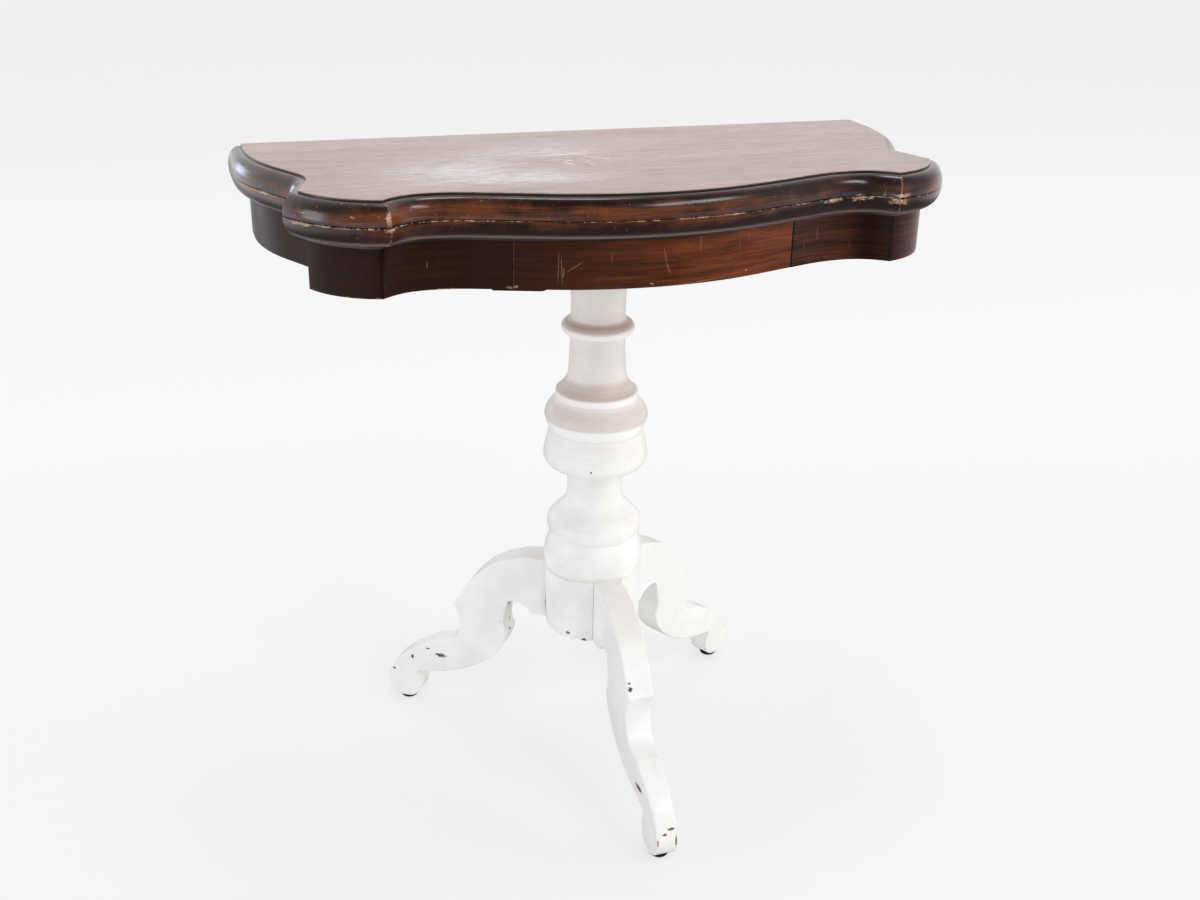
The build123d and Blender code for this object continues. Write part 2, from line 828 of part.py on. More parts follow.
def leg_points(shares):
    """Places on the leg's side from their shares."""
    return [(out * leg_reach, up * leg_top) for out, up in shares]


def on_foot(turn):
    """Place on the rim of the scrolled foot."""
    return (
        foot_middle + foot_radius * cos(radians(turn)),
        foot_height + foot_radius * sin(radians(turn)),
    )


def leg_side(turn):
    """Upright plane through a leg, x outwards from the column's axis and y up."""
    way = radians(turn)
    across = (sin(way), -cos(way), 0)
    return Plane(origin=(0, column_y, 0), x_dir=(cos(way), sin(way), 0), z_dir=across)


def leg_plan(turn, height):
    """Horizontal plane with x outwards along a leg."""
    way = radians(turn)
    return Plane(origin=(0, column_y, height), x_dir=(cos(way), sin(way), 0), z_dir=(0, 0, 1))


def dovetail(turn, top):
    """Dovetail that holds a leg in the column, open at the bottom."""
    with BuildPart() as tail:
        with BuildSketch(leg_plan(turn, column_bottom)):
            root = shoulder_flat - dovetail_depth
            with BuildLine():
                Polyline(
                    (root, -dovetail_root / 2),
                    (shoulder_flat, -dovetail_mouth / 2),
                    (shoulder_flat, dovetail_mouth / 2),
                    (root, dovetail_root / 2),
                    close=True,
                )
            make_face()
        extrude(amount=top - column_bottom)
    return tail.part


def leg(turn):
    """One scroll leg, thinner towards the toe."""
    with BuildPart() as piece:
        with BuildSketch(leg_side(turn)):
            with BuildLine():
                Line((shoulder_flat, leg_top), leg_points(knee_shares)[0])
                Spline(*leg_points(knee_shares), tangents=[(1, 0), (1, -1)])
                Spline(*leg_points(hollow_shares))
                Spline(*leg_points(toe_shares), on_foot(toe_turn))
                foot_arc = notch_turn - toe_turn - whole_turn
                CenterArc((foot_middle, foot_height), foot_radius, toe_turn, foot_arc)
                Spline(on_foot(notch_turn), *leg_points(under_shares))
                Spline(*leg_points(inner_shares))
                Spline(
                    *leg_points(arch_shares), (arch_foot, column_bottom), tangents=[(0, 1), (-1, 0)]
                )
                Polyline(
                    (arch_foot, column_bottom), (shoulder_flat, column_bottom), (shoulder_flat, leg_top)
                )
            make_face()
            rect(0, leg_reach + overrun, -overrun, glide_height, mode=Mode.SUBTRACT)
        extrude(amount=leg_thickness / 2, both=True)
        with BuildSketch(leg_plan(turn, 0)):
            with BuildLine():
                half = leg_thickness / 2
                Polyline(
                    (0, -half),
                    (taper_start, -half),
                    (leg_reach, -half_toe),
                    (leg_reach, half_toe),
                    (taper_start, half),
                    (0, half),
                    close=True,
                )
            make_face()
        extrude(amount=leg_top, mode=Mode.INTERSECT)
        add(dovetail(turn, dovetail_top))
    return piece


leg_turns = (("front", front_leg_turn), ("right", right_leg_turn), ("left", left_leg_turn))


def leg_housing(turn):
    """What one leg takes out of the column."""
    with BuildPart() as waste:
        with BuildSketch(leg_plan(turn, column_bottom)):
            half = leg_thickness / 2 + socket_gap
            rect(shoulder_flat, column_radius + overrun, -half, half)
        extrude(amount=leg_top - column_bottom)
        add(dovetail(turn, dovetail_top))
    return waste.part


# Sheet-iron spider that ties the legs to the column, with its screws
spider_bottom = column_bottom - spider_thickness
hub_screw_planes = [
    leg_plan(turn + half_turn, spider_bottom).location
    * Location((spider_screw_circle, 0, 0), (half_turn, 0, 0))
    for _, turn in leg_turns
]
arm_screw_planes = [
    leg_plan(turn, spider_bottom).location
    * Location(((shoulder_flat + spider_arm_reach) / 2, 0, 0), (half_turn, 0, 0))
    for _, turn in leg_turns
]
spider_screw_places = [Plane(place) for place in hub_screw_planes + arm_screw_planes]
spider_screw_holes = copies(screw_shape(pin_fit), spider_screw_places).part
with BuildPart() as spider_plate:
    with BuildSketch(level(spider_bottom)):
        Circle(spider_hub_radius)
    extrude(amount=spider_thickness)
    for _, turn in leg_turns:
        with BuildSketch(leg_plan(turn, spider_bottom)):
            rect(0, spider_arm_reach, -spider_arm_width / 2, spider_arm_width / 2)
        extrude(amount=spider_thickness)
    add(spider_screw_holes, mode=Mode.SUBTRACT)
finish(spider_plate, "spider_plate")
finish(copies(slotted_screw(), spider_screw_places), "spider_screws")


def glide_profile(play):
    """Half of a glide with its nail, widened by play where it is let into the foot."""
    with BuildPart() as glide:
        with BuildSketch(Plane.XZ):
            with BuildLine():
                rim = (glide_radius, glide_height * glide_rim_share)
                Line((0, 0), (glide_foot_radius, 0))
                Spline((glide_foot_radius, 0), rim, tangents=[(1, 0), (0, 1)])
                Polyline(
                    rim,
                    (glide_radius, glide_height),
                    (glide_nail_radius + play, glide_height),
                    (glide_nail_radius + play, glide_height + glide_nail_length),
                    (0, glide_height + glide_nail_length),
                    (0, 0),
                )
            make_face()
        revolve(axis=Axis.Z)
    return glide.part


glide_planes = [
    Plane(leg_plan(turn, 0).location * Location((foot_middle, 0, 0))) for _, turn in leg_turns
]
finish(copies(glide_profile(0), glide_planes), "glides")
nail_holes = copies(glide_profile(pin_fit), glide_planes).part

for end, turn in leg_turns:
    with BuildPart() as bored_leg:
        add(leg(turn).part)
        add(spider_screw_holes, mode=Mode.SUBTRACT)
        add(nail_holes, mode=Mode.SUBTRACT)
    finish(bored_leg, f"leg_{end}")
with BuildPart() as housed_column:
    add(column.part)
    for _, turn in leg_turns:
        add(leg_housing(turn), mode=Mode.SUBTRACT)
    add(spider_screw_holes, mode=Mode.SUBTRACT)
finish(housed_column, "column")
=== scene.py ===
import json
from math import cos, radians, sin

import bpy
from mathutils import Matrix, Vector

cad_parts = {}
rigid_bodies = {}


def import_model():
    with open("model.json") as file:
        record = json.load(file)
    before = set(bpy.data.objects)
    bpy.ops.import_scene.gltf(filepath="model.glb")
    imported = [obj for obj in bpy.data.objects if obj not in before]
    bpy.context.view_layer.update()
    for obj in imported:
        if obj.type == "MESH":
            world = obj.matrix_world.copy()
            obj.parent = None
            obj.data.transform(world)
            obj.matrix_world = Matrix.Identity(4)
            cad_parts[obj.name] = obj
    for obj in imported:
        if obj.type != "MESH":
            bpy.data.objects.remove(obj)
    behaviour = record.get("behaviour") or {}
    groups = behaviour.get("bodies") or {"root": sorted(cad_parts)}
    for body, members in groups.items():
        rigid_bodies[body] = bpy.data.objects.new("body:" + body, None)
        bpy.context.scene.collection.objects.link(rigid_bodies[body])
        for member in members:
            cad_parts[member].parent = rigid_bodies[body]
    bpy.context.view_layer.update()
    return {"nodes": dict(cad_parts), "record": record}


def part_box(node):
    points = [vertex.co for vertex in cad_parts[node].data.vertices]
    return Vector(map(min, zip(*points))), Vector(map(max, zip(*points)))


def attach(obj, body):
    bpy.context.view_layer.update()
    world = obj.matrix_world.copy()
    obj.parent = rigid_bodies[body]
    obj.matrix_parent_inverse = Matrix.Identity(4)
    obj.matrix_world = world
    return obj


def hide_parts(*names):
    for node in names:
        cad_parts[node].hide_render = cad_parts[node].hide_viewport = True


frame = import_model()
nodes = frame["nodes"]

# Places taken from the frame, in metres
seam = (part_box("upper_front_moulding")[0][2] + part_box("lower_front_moulding")[1][2]) / 2
field_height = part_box("upper_board")[1][2]
leaf_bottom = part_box("lower_board")[0][2]
frieze_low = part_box("back_rail")[0][2]
drawer_low, drawer_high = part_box("drawer_front")[0][0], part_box("drawer_front")[1][0]
stain_depth = 0.03             # how far in from the runners' front ends the wood is stained
frame_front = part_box("runner_left")[0][1] + stain_depth
column_low, column_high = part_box("column")
column_y = (column_low[1] + column_high[1]) / 2

# Mitres of the frieze and the moulding in plan: a point of each, and the way across it
corner = (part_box("upper_front_moulding")[1][0], -0.1173)
tip = (0.3445, -0.0590)
mitres = ((corner, (0.952, -0.306)), (tip, (0.048, 0.999)))

# Marks of wear, in metres, at the places where the photograph shows them
mark_reach = 0.02              # half height of the marks on the field
# Whitened patches of the field: middle, half size, strength
field_blooms = (
    ((-0.178, -0.012), (0.145, 0.105), 1.0),
    ((-0.080, 0.070), (0.165, 0.090), 0.65),
    ((-0.100, -0.060), (0.130, 0.062), 0.75),
)
# The patch of small nicks on it: middle, half size
field_nicks = ((-0.046, 0.018), (0.060, 0.032))
# Pale scratches beside the nicks: middle, half size, turn in plan in degrees, strength
field_scratches = (
    ((-0.0430, 0.0500), (0.0300, 0.0022), 2, 0.9),
    ((-0.0260, 0.0590), (0.0160, 0.0018), 9, 0.7),
    ((-0.0170, 0.0300), (0.0210, 0.0014), -46, 0.6),
)
# Chips of the moulding, most of them on the seam: middle, half size, strength
moulding_chips = (
    ((0.1990, -0.116, seam - 0.0020), (0.0090, 0.02, 0.0024), 1.0),
    ((0.2335, -0.113, seam - 0.0018), (0.0095, 0.02, 0.0026), 1.0),
    ((0.2685, -0.130, seam - 0.0038), (0.0078, 0.02, 0.0030), 1.0),
    ((0.2720, -0.131, seam + 0.0026), (0.0072, 0.02, 0.0022), 1.0),
    ((-0.2710, -0.130, seam + 0.0080), (0.0022, 0.02, 0.0045), 0.9),
    ((-0.2690, -0.132, seam - 0.0010), (0.0050, 0.02, 0.0022), 0.9),
    ((-0.3470, -0.084, seam - 0.0018), (0.0070, 0.03, 0.0018), 0.8),
    ((-0.3120, -0.115, seam - 0.0010), (0.0060, 0.03, 0.0006), 0.6),
    ((-0.3700, 0.055, seam - 0.0010), (0.0300, 0.05, 0.0012), 0.8),
    ((-0.3440, -0.086, seam + 0.0090), (0.0014, 0.02, 0.0006), 0.7),
    ((-0.3030, -0.120, seam + 0.0100), (0.0015, 0.02, 0.0009), 0.7),
)
# Scratches on the drawer front and on the frieze, along the length and in height: middle,
# half size, lean in degrees, strength
drawer_scratches = (
    ((-0.1040, 0.684), (0.0004, 0.017), 2, 0.3),
    ((-0.1008, 0.682), (0.0004, 0.016), -3, 0.35),
    ((-0.0990, 0.680), (0.0006, 0.006), 4, 0.4),
    ((-0.0880, 0.686), (0.0090, 0.0004), -32, 0.4),
    ((-0.0521, 0.694), (0.0004, 0.006), 4, 0.25),
    ((0.0040, 0.690), (0.0004, 0.015), -12, 0.3),
    ((0.0075, 0.680), (0.0004, 0.006), -20, 0.4),
    ((0.0985, 0.669), (0.0014, 0.0010), 0, 0.7),
    ((-0.0102, 0.666), (0.0022, 0.0008), 25, 0.8),
    ((0.0420, 0.664), (0.0300, 0.0004), -2, 0.35),
    ((-0.1440, 0.665), (0.0024, 0.0016), 0, 0.5),
)
frieze_scratches = (
    ((-0.2284, 0.688), (0.0005, 0.0040), 3, 0.35),
    ((-0.1500, 0.664), (0.0036, 0.0012), 10, 0.45),
)
# Bands of the column, from and to a height: those that hold dirt and painted shade, with its
# strength, and the clean lips under them, painted lighter as a painted highlight
dirty_shaded_turnings = ((0.5605, 0.5720, 1.0), (0.4815, 0.5050, 1.0), (0.4480, 0.4740, 0.7))
lit_clean_lips = ((0.5530, 0.5600), (0.4745, 0.4810), (0.4360, 0.4475))
# Paint chips of the column and the legs: middle, half size, turn in plan in degrees
paint_chips = (
    ((-0.1753, 0.1600, 0.0805), (0.0075, 0.01, 0.0028), -37),
    ((-0.1905, 0.1710, 0.0870), (0.0028, 0.01, 0.0010), -37),
    ((-0.2090, 0.1846, 0.0700), (0.0020, 0.01, 0.0032), -37),
    ((-0.2310, 0.2017, 0.0460), (0.0024, 0.01, 0.0012), -37),
    ((-0.0990, 0.1180, 0.1500), (0.0020, 0.01, 0.0030), -37),
    ((-0.0900, 0.1120, 0.1330), (0.0020, 0.01, 0.0024), -37),
    ((-0.0120, -0.1190, 0.1800), (0.0016, 0.01, 0.0012), 0),
    ((-0.0115, -0.1219, 0.1745), (0.0028, 0.01, 0.0026), 0),
    ((-0.0143, -0.1680, 0.0690), (0.0030, 0.01, 0.0030), 0),
    ((0.0060, -0.2224, 0.0470), (0.0040, 0.01, 0.0012), 0),
    ((-0.0021, -0.2243, 0.0420), (0.0026, 0.01, 0.0014), 0),
    ((0.0112, -0.2269, 0.0320), (0.0012, 0.01, 0.0060), 0),
    ((-0.0111, -0.2263, 0.0330), (0.0008, 0.01, 0.0050), 0),
    ((-0.0440, 0.0162, 0.1760), (0.0020, 0.01, 0.0022), 0),
    ((-0.0270, 0.0000, 0.1705), (0.0030, 0.01, 0.0018), 0),
    ((-0.0243, -0.0029, 0.3993), (0.0011, 0.01, 0.0011), 0),
    ((-0.0935, 0.1132, 0.1725), (0.0030, 0.006, 0.0030), 55),
    ((-0.0880, 0.1220, 0.1440), (0.0016, 0.005, 0.0030), 55),
    ((-0.0940, 0.1150, 0.1340), (0.0030, 0.006, 0.0012), 55),
)
# The open joint beside the left leg, painted as a dark slit of shade, and the stain under the right leg:
# middle, half size
painted_slit_shade = ((-0.0577, 0.0690, 0.1905), (0.0036, 0.0050, 0.0230))
arch_stain = ((0.1036, 0.1279, 0.0991), (0.0300, 0.0300, 0.0200))

# Places at which a finish changes, in metres: from the first value to the second
face_depth = (0.010, 0.012)      # from the seam: between a leaf's playing face and its outside
nose_top = (0.016, 0.010)        # from the seam: the reddest part of the moulding ends above
nose_foot = (-0.008, 0.001)      # and below
low_part = (-0.003, -0.012)      # from the seam: the darker foot of the moulding
fleck_foot = (-0.012, -0.008)    # from the seam: it has no flecks below
hair_foot = (-0.014, -0.008)     # and no hair cracks below
wear_line = 0.0006               # how far under the seam its wear lies
painted_sheen_height = (0.0105, 0.005)     # over the lower leaf's underside: the moulding's grey band, a painted reflection of the floor
red_left = (-0.27, -0.20)        # along the length: the moulding is reddest between
red_right = (0.10, 0.0)
worn_lobe = (-0.262, -0.285)     # along the length: the left lobe, where it is worn the most
left_shade = (-0.16, 0.12)       # along the length: the frieze is darker on the left
lobe_shade = (-0.24, -0.30)      # and still darker round the left lobe
painted_hollow_shade = (0.265, 0.04)     # along the length: painted shade in the hollow at the right, and its reach
stain_fade = (0.01, 0.001)       # where the frame's stain ends: how soft inwards, and up
spigot_height = (0.001, 0.003)   # over the frieze's lower edge: the unpainted end of the column
turned_height = (0.08, 0.10)     # over the column's lower end: where its turnings begin
painted_shade_foot = (0.38, 0.50)         # over the floor: the painted shade of the column's upper part, under the table top, begins
painted_shade_top = (0.60, 0.57)          # and thins out
band_fade = 0.0015               # how soft a band of dirt and painted shade begins
lit_lip_fade = 0.001                 # and a clean lip, painted lighter as a highlight, ends
scuff_height = (0.11, 0.06)      # over the floor: below it the paint is scuffed

# Camera, fitted to the photograph: it looks down at the table from the left of its front
camera_turn = radians(-19.097)
camera_rise = radians(23.463)
camera_roll = radians(1.305)
camera_distance = 1.6291
camera_aim = (0.0057, 0.4016)      # along the picture's width, and up
camera_lens = 40.43                # in millimetres, as is the film
film_width = 36.0


def place_camera():
    """Camera at the photograph's viewing angle."""
    back = Vector(
        (sin(camera_turn) * cos(camera_rise), -cos(camera_turn) * cos(camera_rise), sin(camera_rise))
    )
    level = Vector((cos(camera_turn), sin(camera_turn), 0))
    upright = back.cross(level)
    right = level * cos(camera_roll) + upright * sin(camera_roll)
    up = upright * cos(camera_roll) - level * sin(camera_roll)
    aim = level * camera_aim[0] + Vector((0, column_y, camera_aim[1]))
    data = bpy.data.cameras.new("camera")
    data.lens = camera_lens
    data.sensor_width = film_width
    camera = bpy.data.objects.new("camera", data)
    turn = Matrix((right, up, back)).transposed().to_4x4()
    camera.matrix_world = Matrix.Translation(aim + back * camera_distance) @ turn
    bpy.context.collection.objects.link(camera)
    bpy.context.scene.camera = camera


place_camera()


# Shader maths


def tone(red, green, blue):
    """A display colour, 0 to 255, as the light values that a shader takes."""
    shares = (red / 255, green / 255, blue / 255)
    return tuple(c / 12.92 if c <= 0.04045 else ((c + 0.055) / 1.055) ** 2.4 for c in shares)


class Signal:
    """A value that varies over a surface. Arithmetic on it adds Math nodes."""

    def __init__(self, graph, socket):
        self.graph = graph
        self.socket = socket

    def maths(self, operation, *values):
        return self.graph.node("ShaderNodeMath", {"operation": operation}, dict(enumerate(values)))

    def __add__(self, other):
        return self.maths("ADD", self, other)

    __radd__ = __add__

    def __sub__(self, other):
        return self.maths("SUBTRACT", self, other)

    def __rsub__(self, other):
        return self.maths("SUBTRACT", other, self)

    def __mul__(self, other):
        return self.maths("MULTIPLY", self, other)

    __rmul__ = __mul__

    def __abs__(self):
        return self.maths("ABSOLUTE", self)

    def over(self, other):
        """The larger of the two."""
        return self.maths("MAXIMUM", self, other)

    def under(self, other):
        """The smaller of the two."""
        return self.maths("MINIMUM", self, other)


class Graph:
    """The nodes of a finish or of the room."""

    def __init__(self, tree):
        self.tree = tree

    def node(self, kind, settings=None, sockets=None, output=0):
        """Adds a node; its settings are set first, then the values or links of its sockets."""
        node = self.tree.nodes.new(kind)
        for key, value in (settings or {}).items():
            setattr(node, key, value)
        for key, value in (sockets or {}).items():
            self.feed(node.inputs[key], value)
        return Signal(self, node.outputs[output])

    def feed(self, socket, value):
        """Links a signal to a socket, or sets its value."""
        if isinstance(value, Signal):
            self.tree.links.new(value.socket, socket)
        elif socket.type == "RGBA":
            socket.default_value = (*value, 1)
        else:
            socket.default_value = value

    def axes(self, vector):
        """The x, y and z of a vector signal."""
        split = self.node("ShaderNodeSeparateXYZ", sockets={0: vector}).socket.node
        return [Signal(self, socket) for socket in split.outputs]

    def rise(self, value, low, high, start=0.0, end=1.0, course="SMOOTHSTEP"):
        """Step of a value from start at low to end at high, with soft ends or LINEAR."""
        sockets = {"Value": value, "From Min": low, "From Max": high, "To Min": start, "To Max": end}
        return self.node("ShaderNodeMapRange", {"interpolation_type": course}, sockets)


class Finish(Graph):
    """A surface finish: one material and the nodes that make it."""

    def __init__(self, name):
        self.material = bpy.data.materials.new(name)
        self.material.use_nodes = True
        super().__init__(self.material.node_tree)
        self.shader = self.tree.nodes["Principled BSDF"]
        self.place = self.node("ShaderNodeTexCoord", output="Object")
        self.x, self.y, self.z = self.axes(self.place)
        facing = self.node("ShaderNodeTexCoord", output="Normal")
        self.level = abs(self.axes(facing)[2])

    def noise(self, scale, detail=4, roughness=0.55, stretch=(1, 1, 1), warp=0.0):
        """Even noise from 0 to 1; stretch multiplies its frequency along x, y and z."""
        at = self.node("ShaderNodeMapping", sockets={"Vector": self.place, "Scale": stretch})
        sockets = {"Vector": at, "Scale": scale, "Detail": detail, "Roughness": roughness}
        sockets["Distortion"] = warp
        return self.node("ShaderNodeTexNoise", sockets=sockets)

    def near(self, value, middle, reach, soft=0.5):
        """1 where a value is at its middle, falling to 0 at reach from it."""
        return self.rise(abs(value - middle), reach * (1 - soft), reach, start=1.0, end=0.0)

    def spot(self, centre, size, turn=(0, 0, 0), ragged=0.0, rough=90.0, soft=0.25):
        """Mask of an ellipsoid; ragged breaks up its edge into splinters along the wood."""
        settings = {"vector_type": "TEXTURE"}
        sockets = {"Vector": self.place, "Location": centre, "Rotation": turn, "Scale": size}
        local = self.node("ShaderNodeMapping", settings, sockets)
        away = self.node("ShaderNodeVectorMath", {"operation": "LENGTH"}, {0: local}, output="Value")
        if ragged:
            splinters = self.noise(rough, detail=7, roughness=0.75, stretch=(0.6, 0.6, 1.5))
            away = away + (splinters - 0.5) * (2 * ragged)
        return self.rise(away, 1 - soft, 1, start=1.0, end=0.0)

    def joint(self, point, across, reach):
        """Line of a mitre at both ends of the table, from its place in plan and the way across it."""
        away = (abs(self.x) - point[0]) * across[0] + (self.y - point[1]) * across[1]
        return self.near(away, 0, reach) * self.rise(self.y, 0.0, -0.01)

    def blend(self, amount, under, over):
        """Colour over laid on colour under."""
        return self.node(
            "ShaderNodeMix", {"data_type": "RGBA"}, {0: amount, 6: under, 7: over}, output=2
        )

    def bump(self, height, depth, strength):
        """Bends the surface by a height signal; depth is in metres."""
        sockets = {"Height": height, "Distance": depth, "Strength": strength}
        self.feed(self.shader.inputs["Normal"], self.node("ShaderNodeBump", sockets=sockets))

    def finish(self, colour, roughness, metallic=0.0, coat=0.0, coat_roughness=0.1, specular=0.5):
        """Sets what the shader takes and returns the material."""
        inputs = self.shader.inputs
        self.feed(inputs["Base Color"], colour)
        self.feed(inputs["Roughness"], roughness)
        self.feed(inputs["Metallic"], metallic)
        self.feed(inputs["Coat Weight"], coat)
        inputs["Coat Roughness"].default_value = coat_roughness
        inputs["Specular IOR Level"].default_value = specular
        return self.material


# Finishes


def field_veneer():
    """Mahogany veneer of the top: greyed, with a bloom, pale nicks and a dark polished edge."""
    f = Finish("field_veneer")
    clouds = f.noise(5, detail=4, roughness=0.6, stretch=(0.6, 1.5, 1), warp=0.5)
    bands = f.noise(14, detail=5, roughness=0.65, stretch=(0.35, 4, 4), warp=0.5)
    fibres = f.noise(80, detail=6, roughness=0.8, stretch=(0.25, 8, 8))
    pores = f.rise(f.noise(330, detail=3, roughness=0.6, stretch=(0.1, 1.7, 1.7)), 0.56, 0.66)
    colour = f.blend(f.rise(bands, 0.3, 0.7), tone(138, 106, 94), tone(168, 139, 129))
    colour = f.blend(f.rise(clouds, 0.35, 0.65) * 0.45, colour, tone(178, 152, 144))
    colour = f.blend(f.rise(fibres, 0.5, 0.7) * 0.6, colour, tone(112, 78, 64))
    colour = f.blend(f.rise(fibres, 0.48, 0.3) * 0.6, colour, tone(204, 186, 178))
    streaks = f.noise(60, detail=4, roughness=0.7, stretch=(1, 4.5, 4.5))
    colour = f.blend(f.rise(streaks, 0.48, 0.7) * 0.65, colour, tone(112, 78, 66))
    colour = f.blend(pores * 0.75, colour, tone(80, 50, 38))
    wisps = f.noise(60, detail=7, roughness=0.8, stretch=(0.8, 3, 1), warp=0.4)
    haze = 0.0
    for centre, size, strength in field_blooms:
        bloom = f.spot((*centre, field_height), (*size, mark_reach), soft=1.0)
        haze = (f.rise(wisps + bloom * 0.1, 0.48, 0.62) * 0.85 + 0.15) * bloom * strength + haze
    haze = haze.under(1.0)
    colour = f.blend(haze * 0.7, colour, tone(222, 223, 226))
    nicks = f.rise(f.noise(210, detail=2, roughness=0.5, stretch=(0.4, 1.1, 1), warp=0.5), 0.62, 0.65)
    struck = f.spot(
        (*field_nicks[0], field_height), (*field_nicks[1], mark_reach), ragged=0.3, soft=0.5
    )
    nicks = nicks * struck
    for middle, half_size, turn, strength in field_scratches:
        turn = (0, 0, radians(turn))
        scratch = f.spot(
            (*middle, field_height), (*half_size, mark_reach), turn, ragged=0.45, rough=300
        )
        nicks = nicks.over(scratch * strength)
    colour = f.blend(struck * 0.5, colour, tone(150, 116, 100))
    colour = f.blend(nicks * 0.9, colour, tone(238, 234, 228))
    inside = f.blend(f.rise(bands, 0.3, 0.7), tone(92, 48, 30), tone(132, 76, 48))
    inside = f.blend(f.rise(clouds, 0.35, 0.65) * 0.35, inside, tone(150, 92, 62))
    inside = f.blend(f.rise(streaks, 0.46, 0.7) * 0.6, inside, tone(66, 34, 22))
    inside = f.blend(pores * 0.7, inside, tone(44, 24, 16))
    outside = f.rise(f.z, seam + face_depth[0], seam + face_depth[1])
    underside = f.rise(f.z, seam - face_depth[0], seam - face_depth[1])
    colour = f.blend(outside, inside, colour)
    colour = f.blend(underside, colour, tone(104, 76, 54))
    colour = f.blend(f.rise(f.level, 0.7, 0.4), colour, tone(34, 23, 19))
    roughness = f.rise(fibres, 0.2, 0.9, start=0.26, end=0.4) + haze * 0.25
    f.bump(fibres * 0.3 - pores * 0.5 - nicks, depth=0.0001, strength=0.35)
    return f.finish(colour, roughness, coat=0.6, coat_roughness=0.3)


def dark_moulding():
    """Dark polish over mahogany, worn to the wood along the seam and chipped at the corners, with a grey
    band low down that is a painted reflection of the floor.
    """
    f = Finish("dark_moulding")
    above = f.z - seam
    bands = f.noise(10, detail=4, roughness=0.6, stretch=(0.6, 0.6, 9), warp=0.4)
    blotch = f.noise(26, detail=5, roughness=0.65)
    fine = f.noise(150, detail=4, roughness=0.7, stretch=(0.3, 0.3, 3))
    nose = f.rise(above, *nose_top) * f.rise(above, *nose_foot)
    middle = f.rise(f.x, *red_left) * f.rise(f.x, *red_right)
    red = f.rise(bands * 0.6 + blotch * 0.4 + nose * (0.06 + middle * 0.08), 0.48, 0.68)
    colour = f.blend(red, tone(35, 20, 14), tone(104, 56, 30))
    grain = f.noise(70, detail=6, roughness=0.75, stretch=(0.3, 0.3, 6), warp=0.3)
    colour = f.blend(f.rise(grain, 0.45, 0.62) * 0.55, colour, tone(34, 18, 12))
    colour = f.blend(f.rise(fine, 0.45, 0.8) * 0.6, colour, tone(25, 16, 12))
    low = f.rise(above, *low_part)
    # Grey band low on the moulding: a painted reflection of the floor
    painted_sheen = f.rise(f.z, leaf_bottom + painted_sheen_height[0], leaf_bottom + painted_sheen_height[1])
    colour = f.blend(low * 0.8, colour, tone(38, 28, 24))
    colour = f.blend(painted_sheen * 0.75, colour, tone(138, 122, 113))
    ragged = f.noise(300, detail=5, roughness=0.75, stretch=(0.6, 0.6, 1.3))
    patchy = f.noise(30, detail=4, roughness=0.7)
    lobe = f.rise(f.x, *worn_lobe)
    reach = f.rise(patchy, 0.38, 0.62, start=-0.0001, end=0.0004)
    reach = reach + lobe * f.rise(patchy, 0.45, 0.62) * 0.0004
    rim = reach - abs(above + wear_line) + (ragged - 0.5) * (lobe * 0.003 + 0.003)
    wear = f.rise(rim, 0.0, 0.0002)
    flecks = f.rise(f.noise(380, detail=3, roughness=0.6, stretch=(0.5, 0.5, 1)), 0.69, 0.71)
    flecks = flecks * f.rise(above, *fleck_foot) * (lobe * 0.6 + 0.2)
    wear = wear.over(flecks)
    hairs = f.rise(f.noise(150, detail=3, roughness=0.6, stretch=(2.2, 2.2, 0.7), warp=0.6), 0.67, 0.7)
    hairs = hairs * f.rise(f.noise(18, detail=2), 0.46, 0.6)
    wear = wear.over(hairs * f.rise(above, *hair_foot) * 0.3)
    split = f.rise(abs(above), 0.0003, 0.0009, start=0.2, end=1.0)
    for centre, size, strength in moulding_chips:
        chip = f.spot(centre, size, ragged=2.8, rough=300, soft=0.1)
        wear = wear.over(chip * split * strength)
    for point, across in mitres:
        line = f.joint(point, across, reach=0.0006) * f.rise(ragged, 0.46, 0.5)
        wear = wear.over(line * 0.7)
    kept = f.noise(520, detail=5, roughness=0.8, stretch=(0.6, 0.6, 1.6))
    wear = wear * f.rise(kept, 0.41, 0.49) * f.rise(f.level, 0.97, 0.85)
    bare = f.blend(f.rise(patchy, 0.4, 0.6), tone(172, 130, 96), tone(216, 190, 166))
    colour = f.blend(wear * 0.88, colour, bare)
    roughness = f.rise(fine, 0.3, 0.8, start=0.17, end=0.3) + wear * 0.4
    f.bump(bands * 0.3 + fine * 0.2 - wear * 0.8, depth=0.0002, strength=0.3)
    return f.finish(colour, roughness, coat=0.65 - middle * 0.35, coat_roughness=0.21, specular=0.25)


